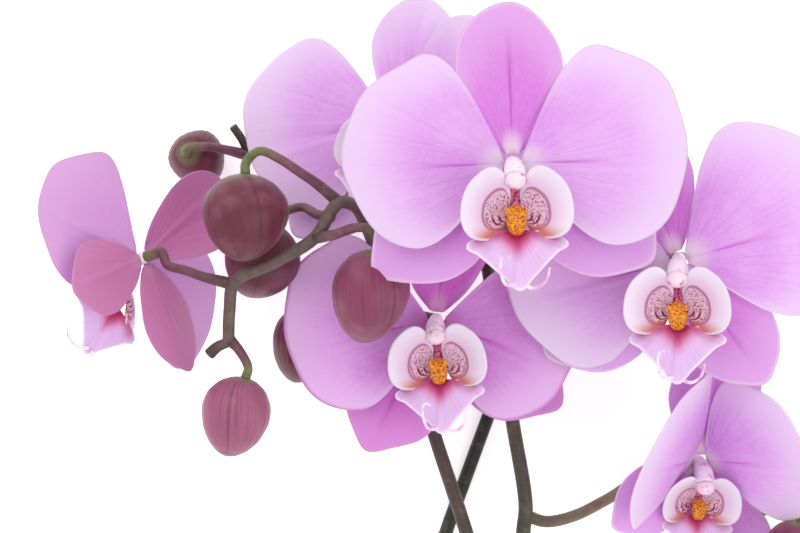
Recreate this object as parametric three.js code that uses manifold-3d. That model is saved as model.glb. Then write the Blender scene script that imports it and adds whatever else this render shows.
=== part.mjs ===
// A cut spray of moth orchid, lying on a flat surface.
// Units are millimetres. +Z is up from the surface, the stem runs along Y with its cut end at -Y
// and the flowers at +Y. Every tepal, lip, column, anther cap and bud is its own closed solid, and
// the branched stem with the stalks that grow from it is one more.
import * as THREE from 'three';
import Module from 'manifold-3d';

const wasm = await Module();
wasm.setup();

// ---------------------------------------------------------------- sizes
const GAP = 0.3; // clearance between neighbouring pieces
const TEPAL_THICKNESS = 0.8;
const LIP_THICKNESS = 0.9;
const CLAW_REACH = 2.6; // distance from the flower's axis to the foot of a tepal
const TEPAL_ROWS = 4;

const COLUMN_FOOT = -1.9; // height of the column's foot behind the petals
const COLUMN_PATH = [[0, 0, COLUMN_FOOT], [0, -0.4, 2.5], [0, -1.6, 6.2], [0, -4.2, 9.3]];
const COLUMN_RADII = [2.1, 2.4, 3.1, 3.4];
const CAP_PATH = [[0, -4.5, 9.6], [0, -5.7, 10.7], [0, -6.9, 11.4]];
const CAP_RADII = [3.1, 2.9, 1.2];
const STALK_RADIUS = 1.45; // flower and bud stalks
const STALK_FOOT_RADIUS = 1.85;
const STALK_FACE = COLUMN_FOOT - GAP; // a stalk ends this far behind its flower

// Outlines are [angle from the midline in degrees, distance from the claw in mm].
const SEPAL_LENGTH = 42.6;
const SEPAL_OUTLINE = [[-58, 5], [-43, 16], [-33, 27], [-18, 37], [0, 42.6], [18, 37], [33, 27], [43, 16],
  [58, 5]];
const PETAL_LENGTH = 45.4;
const PETAL_OUTLINE = [[-54, 6], [-50, 25], [-40, 36], [-18, 43], [5, 45.4], [28, 44.5], [47, 40.5],
  [60, 35.5], [66, 24], [69, 7]];
const SIDE_LOBE_OUTLINE = [[-72, 5], [-56, 10], [-34, 13.6], [0, 14.8], [34, 15.6], [62, 14.4],
  [76, 7]];
const MID_LOBE_OUTLINE = [[-86, 6], [-76, 15], [-60, 13.3], [-40, 12.7], [-18, 14], [0, 17],
  [18, 14], [40, 12.7], [60, 13.3], [76, 15], [86, 6]];

// The two curled tips of the lip, seen in the flower's own frame.
const CIRRI = [
  [[-0.7, -33.6, 13.6], [-4.2, -33.2, 16], [-5.6, -28.4, 17.6], [-4.6, -24.8, 18.4], [-2.8, -25.6, 18]],
  [[0.7, -33.6, 13.6], [4.2, -34.8, 15.6], [7.4, -32.4, 17.4], [8.4, -28.8, 18]],
];

// Each tepal: its direction round the flower in degrees, level of its foot, half-width of its foot,
// how far it tips forward in degrees, how far its end bows back, and how far its sides cup.
const TEPALS = {
  dorsal_sepal: { turn: 90, level: -0.9, foot: 1.5, tip: -3, bow: -3, cup: 1.5, grow: 1 },
  lateral_sepal_left: { turn: 217, level: -0.9, foot: 1.5, tip: -8, bow: -2, cup: 1.5, grow: 1.1 },
  lateral_sepal_right: { turn: -37, level: -0.9, foot: 1.5, tip: -8, bow: -2, cup: 1.5, grow: 1.1 },
  petal_left: { turn: 180, level: 0.5, foot: 1.2, tip: 4, bow: -4, cup: -1.5, grow: 1 },
  petal_right: { turn: 0, level: 0.5, foot: 1.2, tip: 4, bow: -4, cup: -1.5, grow: 1 },
};

// Flowers: centre, the way each one faces, roll about that, size, how far all its tepals tip
// forward, stalk course from the stem, and what changes in single tepals.
const FLOWERS = [
  { name: 'flower1', at: [32.5, 29.8, 84], face: [0.02, -0.06, 1], roll: 2, size: 1, closing: 0,
    stalk: [[30.6, -20, 25], [32, -6, 36], [31.5, 8, 48], [32, 22, 64]],
    change: {
      dorsal_sepal: { grow: 1.05 },
      lateral_sepal_right: { cup: 0.5 },
      petal_left: { grow: 1.02 },
      petal_right: { grow: 1.07 },
    } },
  { name: 'flower2', at: [11, -16.3, 42], face: [-0.06, -0.05, 1], roll: 4, size: 0.93, closing: 0,
    stalk: [[0, -15, 24.5], [5, -15, 26], [10.5, -15.8, 32]],
    change: {
      dorsal_sepal: { turn: 80, grow: 1.1 },
      lateral_sepal_left: { turn: 238 },
      lateral_sepal_right: { turn: -40 },
      petal_left: { turn: 187, grow: 1.06 },
      petal_right: { turn: -25 },
    } },
  { name: 'flower3', at: [83, 1.9, 60], face: [-0.16, -0.1, 1], roll: 0, size: 0.98, closing: 0,
    stalk: [[69.8, 0.8, 10], [79, 2, 14], [86, 3, 25], [86.5, 3, 42]],
    change: {
      dorsal_sepal: { turn: 112 },
      lateral_sepal_left: { tip: 0 },
      lateral_sepal_right: { turn: -56, grow: 1, tip: -5 },
      petal_left: { turn: 193.5, grow: 1.12 },
      petal_right: { turn: 16, grow: 1.14 },
    } },
  { name: 'flower4', at: [94, -61.5, 21], face: [0.12, -0.25, 0.95], roll: -4, size: 0.98, closing: 44,
    lipSize: 0.8, stalk: [[86.6, -66, 2.6], [93, -64.5, 4], [95.5, -62.5, 7.5]],
    change: {
      dorsal_sepal: { tip: -26 },
      lateral_sepal_left: { tip: -18, turn: 214, grow: 0.78 },
      lateral_sepal_right: { tip: -34, turn: -68 },
      petal_left: { tip: 15, turn: 161 },
      petal_right: { tip: 12, turn: 25, grow: 0.91 },
    } },
  { name: 'flower5', at: [-1.5, 45.4, 30], face: [-0.22, 0.1, 1], roll: -12, size: 0.88, closing: 0,
    stalk: [[-6, 38, 12], [-4, 39, 15], [0, 42, 21]],
    change: {
      dorsal_sepal: { grow: 1.03 },
      lateral_sepal_left: { turn: 238, grow: 1.2 },
      petal_left: { turn: 202.5, grow: 1.16 },
      petal_right: { turn: 20, grow: 1.1 },
    } },
  { name: 'flower6', at: [-79.3, 2.6, 38], face: [-0.8, -0.22, -0.52], roll: 34, size: 0.9, closing: 10,
    stalk: [[-50.1, -5.3, 52.5], [-58.7, -3.2, 52], [-65.1, -1.1, 49], [-70.7, 0.6, 45]],
    change: {
      dorsal_sepal: { turn: 112, cup: -12, tip: -28, grow: 0.95 },
      lateral_sepal_left: { grow: 0.9 },
      lateral_sepal_right: { turn: -50, grow: 0.88 },
      petal_left: { turn: 181.5, tip: 5 },
      petal_right: { turn: -8, grow: 0.94 },
    } },
];

// Buds: foot, tip, greatest width, stalk course from the stem.
const BUDS = [
  { name: 'bud1', foot: [-66.5, 35.6, 22.5], tip: [-61.5, 33, 0.26], width: 17,
    stalk: [[-47.9, 35.2, 14], [-54.5, 36.6, 21.5], [-60.6, 37.4, 26], [-65.5, 36.9, 27]] },
  { name: 'bud2', foot: [-46, 28, 61], tip: [-47, 1.5, 60], width: 25,
    stalk: [[-18.2, 19.3, 60], [-24.4, 24.5, 62], [-29.6, 28, 65], [-35.4, 31.8, 66], [-41.5, 34.2, 64]] },
  { name: 'bud3', foot: [-7, 5, 66.5], tip: [-11.5, -22.5, 61], width: 22.5,
    stalk: [[-25.3, 8.5, 61], [-19.1, 9.5, 65.5], [-13.2, 11.4, 68.5], [-9, 11, 69]] },
  { name: 'bud4', foot: [-38, 13, 39], tip: [-47.5, -9, 34], width: 23,
    stalk: [[-20.6, 14.8, 60.6], [-24.5, 15.5, 54], [-30, 18, 46]] },
  { name: 'bud5', foot: [-46.8, -33.4, 46], tip: [-53, -57.5, 45], width: 20.5,
    stalk: [[-51.6, -22, 48], [-48.5, -25.5, 47.5]] },
  { name: 'bud6', foot: [-27, -12, 29], tip: [-33, -36, 26], width: 20,
    stalk: [[-2.6, -6, 27.5], [-12, -3, 29], [-20, -4, 30.5]] },
  { name: 'bud7', foot: [123.6, -78, 34], tip: [121.6, -103.5, 30], width: 21,
    stalk: [[114.5, -77.5, 12], [117, -76, 22], [118.5, -72.5, 31.5]] },
];

// Branches of the stem: course and the radius at each end.
const BRANCHES = [
  { radii: [2.8, 1.7], course: [[46.6, -310.4, 2.66], [44.3, -235.4, 3.2], [41, -186.8, 5], [38.9, -140.3, 9],
    [38.3, -105.5, 14], [39.1, -83.7, 17], [39.7, -75.1, 19], [35.6, -49.6, 22.5], [30.8, -21.3, 25],
    [27.2, 1.4, 25], [23.7, 17.4, 22], [16.1, 27.4, 17.5], [6.3, 33.9, 13.5], [-6.3, 38, 11],
    [-25.3, 38.8, 9.5], [-40.9, 36.7, 11], [-47.9, 35.2, 14]] },
  { radii: [2.3, 1.8], course: [[38.9, -141.9, 10], [31.7, -118.5, 13], [21.1, -83.8, 17], [10.4, -51.1, 19],
    [2.5, -24.6, 22], [-3.7, -2.6, 28], [-7.5, 6, 37], [-10.2, 12.8, 49], [-13.5, 18.2, 58], [-18.2, 18.9, 61],
    [-25.3, 8.5, 61], [-37.3, 1.3, 58], [-49.6, -4.7, 53], [-51.3, -13.1, 50], [-51.8, -22.9, 48]] },
  { radii: [2.3, 2], course: [[40.2, -171.9, 6.5], [25.5, -144.6, 4.6], [14.3, -112.6, 3], [12.7, -93.5, 2.15],
    [15.3, -84.5, 2.1], [20.7, -69.6, 2.05], [27.1, -52.1, 2.05], [35.6, -29.7, 2], [46, -12.2, 2.45],
    [58.5, -1.7, 5.5], [69.8, 0.8, 10]] },
  { radii: [1.9, 1.6], course: [[39.7, -78.2, 18.5], [45.7, -80.5, 16.5], [55.2, -79.4, 11], [66.3, -74.6, 6],
    [77.2, -68.5, 3], [86.6, -66, 1.87], [94.7, -68.7, 2.4], [102.4, -73, 5],
    [110, -77, 7], [114.5, -77.5, 12]] },
  { radii: [1.5, 1.8], course: [[-51.8, -22.9, 48], [-55.2, -24.4, 47], [-57.7, -26.6, 46]] },
  { radii: [1.4, 1.3], course: [[-47.9, 35.2, 14], [-49.4, 39.6, 17], [-52.4, 44.1, 19]] },
];

const COLORS = {
  sepal: 0xc05fc4, petal: 0xe4b4ec, lip: 0xf0d8ea, column: 0xf3e6f0, cap: 0xe9c9df, bud: 0x7a3a52,
  stem: 0x57493a,
};

// ---------------------------------------------------------------- tools
const radians = THREE.MathUtils.degToRad;
const vector = (values) => new THREE.Vector3(...values);

function signedVolume(positions, triangles) {
  const at = (i) => new THREE.Vector3(positions[3 * i], positions[3 * i + 1], positions[3 * i + 2]);
  let total = 0;
  for (let i = 0; i < triangles.length; i += 3) {
    total += at(triangles[i]).dot(at(triangles[i + 1]).cross(at(triangles[i + 2]))) / 6;
  }
  return total;
}

// A closed geometry from points and triangles, turned so that its faces point out.
function closedGeometry(points, triangles) {
  const positions = Float32Array.from(points.flatMap((p) => [p.x, p.y, p.z]));
  const outward = signedVolume(positions, triangles) < 0 ? triangles.slice().reverse() : triangles;
  const geometry = new THREE.BufferGeometry();
  geometry.setAttribute('position', new THREE.BufferAttribute(positions, 3));
  geometry.setIndex(new THREE.BufferAttribute(Uint32Array.from(outward), 1));
  geometry.computeVertexNormals();
  return geometry;
}

function toSolid(geometry) {
  return new wasm.Manifold(new wasm.Mesh({
    numProp: 3,
    vertProperties: Float32Array.from(geometry.getAttribute('position').array),
    triVerts: Uint32Array.from(geometry.getIndex().array),
  }));
}

function toGeometry(solid) {
  const mesh = solid.getMesh();
  const geometry = new THREE.BufferGeometry();
  geometry.setAttribute('position', new THREE.BufferAttribute(Float32Array.from(mesh.vertProperties), 3));
  geometry.setIndex(new THREE.BufferAttribute(Uint32Array.from(mesh.triVerts), 1));
  geometry.computeVertexNormals();
  return geometry;
}

function join(geometries) {
  return toGeometry(geometries.map(toSolid).reduce((whole, next) => whole.add(next)));
}

// Radius of an outline at an angle, smoothly between its listed values.
function outlineAt(outline, angle) {
  let k = 0;
  while (k < outline.length - 2 && angle > outline[k + 1][0]) k += 1;
  const [a0, r0] = outline[k];
  const [a1, r1] = outline[k + 1];
  const before = outline[Math.max(k - 1, 0)];
  const after = outline[Math.min(k + 2, outline.length - 1)];
  const s = THREE.MathUtils.clamp((angle - a0) / (a1 - a0), 0, 1);
  const m0 = ((r1 - before[1]) / (a1 - before[0])) * (a1 - a0);
  const m1 = ((after[1] - r0) / (after[0] - a0)) * (a1 - a0);
  const s2 = s * s;
  const s3 = s2 * s;
  return (2 * s3 - 3 * s2 + 1) * r0 + (s3 - 2 * s2 + s) * m0 + (3 * s2 - 2 * s3) * r1 + (s3 - s2) * m1;
}

// A thin closed shell about the surface point(t, s), with t and s from 0 to 1.
function shell(point, rows, columns, thickness) {
  const step = 1e-3;
  const top = [];
  const bottom = [];
  for (let i = 0; i <= rows; i += 1) {
    for (let j = 0; j <= columns; j += 1) {
      const t = i / rows;
      const s = j / columns;
      const along = point(Math.min(t + step, 1), s).sub(point(Math.max(t - step, 0), s));
      const across = point(t, Math.min(s + step, 1)).sub(point(t, Math.max(s - step, 0)));
      const normal = along.cross(across).normalize().multiplyScalar(thickness / 2);
      top.push(point(t, s).add(normal));
      bottom.push(point(t, s).sub(normal));
    }
  }
  const under = top.length;
  const index = (i, j) => i * (columns + 1) + j;
  const rim = [];
  for (let j = 0; j < columns; j += 1) rim.push(index(0, j));
  for (let i = 0; i < rows; i += 1) rim.push(index(i, columns));
  for (let j = columns; j > 0; j -= 1) rim.push(index(rows, j));
  for (let i = rows; i > 0; i -= 1) rim.push(index(i, 0));
  const triangles = [];
  rim.forEach((a, k) => {
    const b = rim[(k + 1) % rim.length];
    triangles.push(a, b, under + b, a, under + b, under + a);
  });
  for (let i = 0; i < rows; i += 1) {
    for (let j = 0; j < columns; j += 1) {
      const [a, b, c, d] = [index(i, j), index(i + 1, j), index(i + 1, j + 1), index(i, j + 1)];
      triangles.push(a, b, c, a, c, d);
      triangles.push(under + a, under + c, under + b, under + a, under + d, under + c);
    }
  }
  return closedGeometry([...top, ...bottom], triangles);
}

// A round closed tube along a smooth curve through the course. Its radii are spread evenly over the
// course, and every stretch between two course points has the same number of rings.
function tube(course, radii, sides, ringsPerStretch) {
  const curve = new THREE.CatmullRomCurve3(course.map(vector), false, 'centripetal');
  const rings = (course.length - 1) * ringsPerStretch;
  const points = [];
  let heading = curve.getTangent(0);
  let normal = new THREE.Vector3(0.31, 0.17, 0.93).cross(heading).normalize();
  for (let i = 0; i <= rings; i += 1) {
    const place = (i / rings) * (radii.length - 1);
    const k = Math.min(Math.floor(place), radii.length - 2);
    const radius = THREE.MathUtils.lerp(radii[k], radii[k + 1], place - k);
    const centre = curve.getPoint(i / rings);
    const next = curve.getTangent(i / rings);
    normal = normal.applyQuaternion(new THREE.Quaternion().setFromUnitVectors(heading, next));
    heading = next;
    const binormal = heading.clone().cross(normal);
    for (let j = 0; j < sides; j += 1) {
      const angle = (j / sides) * 2 * Math.PI;
      points.push(centre.clone()
        .addScaledVector(normal, radius * Math.cos(angle))
        .addScaledVector(binormal, radius * Math.sin(angle)));
    }
  }
  return capped(points, sides);
}

// A closed solid from rings of points, each ring with the same number of sides.
function capped(points, sides) {
  const triangles = [];
  const last = points.length - sides;
  for (let a = 0; a < last; a += 1) {
    const b = a % sides === sides - 1 ? a + 1 - sides : a + 1;
    triangles.push(a, b, b + sides, a, b + sides, a + sides);
  }
  for (let j = 1; j < sides - 1; j += 1) {
    triangles.push(0, j + 1, j, last, last + j, last + j + 1);
  }
  return closedGeometry(points, triangles);
}

// ---------------------------------------------------------------- flower pieces
function blade(shape, outline, length) {
  const angles = outline.map(([angle]) => angle);
  const spans = outline.length - 1;
  const lean = radians(shape.tip);
  const flip = shape.mirrored ? -1 : 1;
  const point = (t, s) => {
    const place = Math.min(Math.floor(s * spans), spans - 1);
    const angle = THREE.MathUtils.lerp(angles[place], angles[place + 1], s * spans - place);
    const reach = outlineAt(outline, angle) * shape.grow * t;
    const x = reach * Math.cos(radians(angle));
    const y = (2 * s - 1) * shape.foot * (1 - t) + reach * Math.sin(radians(angle));
    const out = x / (length * shape.grow);
    const lift = shape.bow * out * out + shape.cup * (y / (length / 2)) ** 2 * Math.min(1, t * 2);
    return new THREE.Vector3(
      CLAW_REACH + x * Math.cos(lean) - lift * Math.sin(lean),
      flip * y,
      shape.level + x * Math.sin(lean) + lift * Math.cos(lean),
    );
  };
  return shell(point, TEPAL_ROWS, spans, TEPAL_THICKNESS).rotateZ(radians(shape.turn));
}

function fan(centre, turn, outline, rows, columns, height, thickness) {
  const first = outline[0][0];
  const last = outline[outline.length - 1][0];
  const point = (t, s) => {
    const angle = THREE.MathUtils.lerp(first, last, s);
    const reach = outlineAt(outline, angle) * t + 0.8 * (1 - t);
    const around = radians(turn + angle);
    return new THREE.Vector3(
      centre[0] + reach * Math.cos(around),
      centre[1] + reach * Math.sin(around),
      centre[2] + height(reach, radians(angle)),
    );
  };
  return shell(point, rows, columns, thickness);
}

function lip(size) {
  const claw = tube([[0, -3.2, 0.6], [0, -8, 2.2], [0, -13, 3.6], [0, -19, 6.4]], [0.9, 1.5, 2.4, 1.6], 7, 1);
  const callus = tube([[0, -12.2, 6], [0, -14.5, 8.4], [0, -17.5, 8], [0, -19.5, 6.4]], [1.2, 3, 3, 1], 7, 1);
  const lobeHeight = (reach) => 9.5 * (reach / 14) ** 1.5;
  const rightLobe = fan([1.6, -14.5, 3.6], 15, SIDE_LOBE_OUTLINE, 2, 6, lobeHeight, LIP_THICKNESS);
  const mirrored = SIDE_LOBE_OUTLINE.map(([angle, reach]) => [-angle, reach]).reverse();
  const leftLobe = fan([-1.6, -14.5, 3.6], 165, mirrored, 2, 6, lobeHeight, LIP_THICKNESS);
  const midHeight = (reach, angle) => 0.45 * reach * Math.cos(angle) + 0.12 * reach;
  const midLobe = fan([0, -18.4, 5.6], 270, MID_LOBE_OUTLINE, 2, 8, midHeight, LIP_THICKNESS);
  const cirri = CIRRI.map((course) => tube(course, [0.75, 0.5, 0.4, 0.35], 5, 1));
  return join([claw, callus, rightLobe, leftLobe, midLobe, ...cirri])
    .translate(0, 3.2, -0.6).scale(size, size, size).translate(0, -3.9, 0.6);
}

function bud({ foot, tip, width }) {
  const axis = vector(tip).sub(vector(foot));
  const length = axis.length();
  const profile = [[0, 0.1], [0.06, 0.5], [0.2, 0.84], [0.4, 1], [0.6, 0.93], [0.8, 0.71], [0.93, 0.42], [1, 0.1]];
  const sides = 12;
  const points = [];
  profile.forEach(([place, share]) => {
    for (let j = 0; j < sides; j += 1) {
      const angle = (j / sides) * 2 * Math.PI;
      const radius = (share * width * (1 + 0.04 * Math.cos(3 * angle))) / 2;
      points.push(new THREE.Vector3(radius * Math.cos(angle), radius * Math.sin(angle), GAP + place * (length - GAP)));
    }
  });
  const geometry = capped(points, sides);
  const turn = new THREE.Quaternion().setFromUnitVectors(new THREE.Vector3(0, 0, 1), axis.normalize());
  return geometry.applyQuaternion(turn).translate(...foot);
}

// ---------------------------------------------------------------- assembly
const spray = new THREE.Group();
spray.name = 'orchid';

function addPiece(parent, name, geometry, color, roughness) {
  const material = new THREE.MeshStandardMaterial({ color, roughness, metalness: 0, flatShading: false });
  const mesh = new THREE.Mesh(geometry, material);
  mesh.name = name;
  parent.add(mesh);
}

function flowerTurn({ face, roll }) {
  const forward = vector(face).normalize();
  const right = new THREE.Vector3(0, 1, 0).cross(forward).normalize();
  const up = forward.clone().cross(right);
  const basis = new THREE.Matrix4().makeBasis(right, up, forward);
  return new THREE.Quaternion().setFromRotationMatrix(basis)
    .multiply(new THREE.Quaternion().setFromAxisAngle(new THREE.Vector3(0, 0, 1), radians(roll)));
}

const stemParts = BRANCHES.map(({ course, radii }) => (
  tube(course, radii, 8, 2)
));

FLOWERS.forEach((flower) => {
  const group = new THREE.Group();
  group.position.set(...flower.at);
  group.quaternion.copy(flowerTurn(flower));
  group.scale.setScalar(flower.size);
  group.updateMatrix();
  Object.entries(TEPALS).forEach(([part, standard]) => {
    const shape = { ...standard, ...flower.change[part] };
    const isPetal = part.startsWith('petal');
    shape.tip = flower.closing + (flower.change[part]?.tip ?? standard.tip);
    shape.mirrored = part === 'petal_left';
    const geometry = isPetal ? blade(shape, PETAL_OUTLINE, PETAL_LENGTH) : blade(shape, SEPAL_OUTLINE, SEPAL_LENGTH);
    addPiece(group, `${flower.name}_${part}`, geometry, isPetal ? COLORS.petal : COLORS.sepal, 0.5);
  });
  addPiece(group, `${flower.name}_lip`, lip(flower.lipSize ?? 1), COLORS.lip, 0.45);
  addPiece(group, `${flower.name}_column`, tube(COLUMN_PATH, COLUMN_RADII, 10, 1), COLORS.column, 0.45);
  addPiece(group, `${flower.name}_anther_cap`, tube(CAP_PATH, CAP_RADII, 8, 1), COLORS.cap, 0.45);
  spray.add(group);
  const behind = [-9, -5, STALK_FACE].map((z) => (
    new THREE.Vector3(0, 0, z).applyMatrix4(group.matrix).toArray()
  ));
  const course = [...flower.stalk, ...behind];
  stemParts.push(tube(course, [STALK_FOOT_RADIUS, STALK_RADIUS, STALK_RADIUS, 1.7], 7, 1));
});

BUDS.forEach((item) => {
  addPiece(spray, item.name, bud(item), COLORS.bud, 0.5);
  const inward = vector(item.tip).sub(vector(item.foot)).normalize();
  const approach = vector(item.foot).addScaledVector(inward, -3).toArray();
  const course = [...item.stalk, approach, item.foot];
  stemParts.push(tube(course, [STALK_FOOT_RADIUS, STALK_RADIUS, STALK_RADIUS, 1.3], 7, 2));
});

addPiece(spray, 'stem', join(stemParts), COLORS.stem, 0.6);

// The origin is the middle of the spray's box, on the surface it lies on.
const box = new THREE.Box3().setFromObject(spray, true);
const middle = box.getCenter(new THREE.Vector3());
spray.position.set(-middle.x, -middle.y, -box.min.z);

export default spray;
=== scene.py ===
"""The looks of the cut orchid spray: fine petals, lips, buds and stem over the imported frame."""

import math

import bpy
import numpy as np
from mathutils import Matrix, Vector


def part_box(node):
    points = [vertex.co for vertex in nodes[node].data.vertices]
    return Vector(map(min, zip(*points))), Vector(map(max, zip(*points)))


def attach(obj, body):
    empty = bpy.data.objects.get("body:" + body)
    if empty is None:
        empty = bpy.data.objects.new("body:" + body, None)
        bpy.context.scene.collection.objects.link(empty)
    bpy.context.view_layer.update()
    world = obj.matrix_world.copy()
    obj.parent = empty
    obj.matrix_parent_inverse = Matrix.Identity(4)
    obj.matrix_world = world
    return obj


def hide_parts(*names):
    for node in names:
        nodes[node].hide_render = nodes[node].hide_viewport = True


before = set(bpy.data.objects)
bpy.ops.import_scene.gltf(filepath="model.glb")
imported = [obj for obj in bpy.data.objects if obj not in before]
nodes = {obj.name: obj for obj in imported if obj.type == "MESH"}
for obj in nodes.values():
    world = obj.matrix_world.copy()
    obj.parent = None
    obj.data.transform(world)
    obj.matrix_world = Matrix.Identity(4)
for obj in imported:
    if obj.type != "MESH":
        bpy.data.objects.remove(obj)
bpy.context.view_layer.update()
MM = 0.001  # the frame is in metres

# ---------------------------------------------------------------- sizes, in millimetres and degrees
# An outline lists how far a tepal or a lobe reaches at each angle from its axis.
CLAW_REACH = 2.6
SEPAL_LENGTH = 42.6
SEPAL_OUTLINE = [(-58, 5), (-43, 16), (-33, 27), (-18, 37), (0, 42.6), (18, 37), (33, 27), (43, 16),
                 (58, 5)]
PETAL_LENGTH = 45.4
PETAL_OUTLINE = [(-54, 6), (-50, 25), (-40, 36), (-18, 43), (5, 45.4), (28, 44.5), (47, 40.5), (60, 35.5),
                 (66, 24), (69, 7)]
OUTLINE_SAMPLES = 600
MODEL_ROWS = 5  # rows of points in a tepal of the solid model
TEPAL_ROWS, TEPAL_COLUMNS = 40, 84
ROW_SPREAD = 0.85  # below 1, rows stand closer together toward the rim
TEPAL_THICKNESS = 0.75
RIM_THINNING = 0.6  # share of the thickness that is lost at the rim

# Relief of a tepal: heights in millimetres, and shares of the reach for the ripple of its margin.
GROOVE_DEPTH, GROOVE_ANGLE = 0.55, 3.5
PETAL_WAVE, SEPAL_WAVE = 0.7, 0.4
SWELL_HEIGHT = 0.45
PLEAT_HEIGHT, PLEAT_RATE = 0.07, 46
SLOW_RIPPLE, FAST_RIPPLE = 0.012, 0.007
TIP_POINT, TIP_ANGLE = 0.05, 6

# The lip. Its parts are modelled about LIP_FOOT, scaled, and set down at LIP_SEAT.
LIP_FOOT = np.array([0, -3.2, 0.6])
LIP_SEAT = np.array([0, -3.9, 0.6])
LOBE_ROWS, SIDE_LOBE_COLUMNS, MID_LOBE_COLUMNS = 30, 56, 64
LOBE_WAIST = 0.8  # reach of a lobe at its centre
SIDE_LOBE_OUTLINE = [(-72, 5), (-56, 10), (-34, 13.6), (0, 14.8), (34, 15.6), (62, 14.4), (76, 7)]
SIDE_LOBE_CENTRE = (1.6, -14.5, 3.6)
SIDE_LOBE_TURN = 15
SIDE_LOBE_RISE, SIDE_LOBE_REACH = 9.5, 14
SIDE_LOBE_CURL = 0.9
SIDE_LOBE_THICKNESS = 0.9
MID_LOBE_OUTLINE = [(-86, 6), (-76, 15), (-60, 13.3), (-40, 12.7), (-18, 14), (0, 17), (18, 14), (40, 12.7),
                    (60, 13.3), (76, 15), (86, 6)]
MID_LOBE_CENTRE = (0, -18.4, 5.6)
MID_LOBE_TURN = 270
MID_LOBE_SLOPE, MID_LOBE_CUP = 0.45, 0.12  # lift per millimetre of reach, at its middle and all round
MID_LOBE_WAVE = 0.35
MID_LOBE_THICKNESS = 0.95
RIDGE_HEIGHT, RIDGE_ANGLE = 0.5, 9
LOBE_THINNING = 0.4  # millimetres of thickness lost at a lobe's rim
CLAW = dict(course=[(0, -3.2, 0.6), (0, -8, 2.2), (0, -13, 3.6), (0, -19, 6.4)], radii=[0.9, 1.5, 2.4, 1.6],
            sides=20, rings=24)
CALLUS = dict(course=[(0, -12.2, 6), (0, -14.5, 8.2), (0, -17.5, 8), (0, -19.5, 6.4)],
              radii=[1.6, 2.6, 2.9, 2.9, 2.3, 1], sides=40, rings=40)
WART_HEIGHT = 0.22
CLEFT_DEPTH, CLEFT_WIDTH, CLEFT_FLOOR = 0.9, 0.8, 8
HORN_COURSE = [(1.2, -14.6, 9.2), (2.2, -13.2, 10.4), (2.9, -11.8, 11.2)]
HORN_RADII = [1.2, 0.9, 0.35]
CIRRI = {
    "left": [(-0.7, -33.6, 13.6), (-4.2, -33.2, 16), (-5.6, -28.4, 17.6), (-4.6, -24.8, 18.4),
             (-2.8, -25.6, 18)],
    "right": [(0.7, -33.6, 13.6), (4.2, -34.8, 15.6), (7.4, -32.4, 17.4), (8.4, -28.8, 18)],
}
CIRRUS_RADII = [0.75, 0.5, 0.4, 0.3]

COLUMN = dict(course=[(0, 0, -1.9), (0, -0.4, 2.5), (0, -1.6, 6.2), (0, -4.2, 9.3)],
              radii=[2.1, 2.4, 3.1, 3.4], sides=28, rings=36)
ANTHER_CAP = dict(course=[(0, -4.5, 9.6), (0, -5.7, 10.7), (0, -6.9, 11.4)],
                  radii=[3.1, 3.1, 2.9, 2.2, 1.2], sides=28, rings=24)
TUBE_SIDE = [0.31, 0.17, 0.93]  # no tube starts along this direction

# How each tepal stands in a flower, as in the solid model: direction, foot level, foot half-width,
# forward tip, bow of the end, cup of the sides and growth.
TEPALS = {
    "dorsal_sepal": dict(turn=90, level=-0.9, foot=1.5, tip=-3, bow=-3, cup=1.5, grow=1),
    "lateral_sepal_left": dict(turn=217, level=-0.9, foot=1.5, tip=-8, bow=-2, cup=1.5, grow=1.1),
    "lateral_sepal_right": dict(turn=-37, level=-0.9, foot=1.5, tip=-8, bow=-2, cup=1.5, grow=1.1),
    "petal_left": dict(turn=180, level=0.5, foot=1.2, tip=4, bow=-4, cup=-1.5, grow=1),
    "petal_right": dict(turn=0, level=0.5, foot=1.2, tip=4, bow=-4, cup=-1.5, grow=1),
}

# Flowers: how far their tepals close, how deep their pink is, size of the lip, whether the sepals are
# as pale as the petals, and single changes.
FLOWERS = {
    "flower1": dict(closing=0, depth=0.2, lip=1, change={
        "dorsal_sepal": dict(grow=1.05),
        "lateral_sepal_right": dict(cup=0.5),
        "petal_left": dict(grow=1.02),
        "petal_right": dict(grow=1.07)}),
    "flower2": dict(closing=0, depth=0.8, lip=1, change={
        "dorsal_sepal": dict(turn=80, grow=1.1),
        "lateral_sepal_left": dict(turn=238),
        "lateral_sepal_right": dict(turn=-40),
        "petal_left": dict(turn=187, grow=1.06),
        "petal_right": dict(turn=-25)}),
    "flower3": dict(closing=0, depth=0.15, lip=1, change={
        "dorsal_sepal": dict(turn=112),
        "lateral_sepal_left": dict(tip=0),
        "lateral_sepal_right": dict(turn=-56, grow=1, tip=-5),
        "petal_left": dict(turn=193.5, grow=1.12),
        "petal_right": dict(turn=16, grow=1.14)}),
    "flower4": dict(closing=44, depth=0.1, lip=0.8, change={
        "dorsal_sepal": dict(tip=-26),
        "lateral_sepal_left": dict(tip=-18, turn=214, grow=0.78),
        "lateral_sepal_right": dict(tip=-34, turn=-68),
        "petal_left": dict(tip=15, turn=161),
        "petal_right": dict(tip=12, turn=25, grow=0.91)}),
    "flower5": dict(closing=0, depth=0.1, lip=1, pale_sepals=True, change={
        "dorsal_sepal": dict(grow=1.03),
        "lateral_sepal_left": dict(turn=238, grow=1.2),
        "petal_left": dict(turn=202.5, grow=1.16),
        "petal_right": dict(turn=20, grow=1.1)}),
    "flower6": dict(closing=10, depth=0.55, lip=1, change={
        "dorsal_sepal": dict(turn=112, cup=-12, tip=-28, grow=0.95),
        "lateral_sepal_left": dict(grow=0.9),
        "lateral_sepal_right": dict(turn=-50, grow=0.88),
        "petal_left": dict(turn=181.5, tip=5),
        "petal_right": dict(turn=-8, grow=0.94)}),
}

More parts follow.
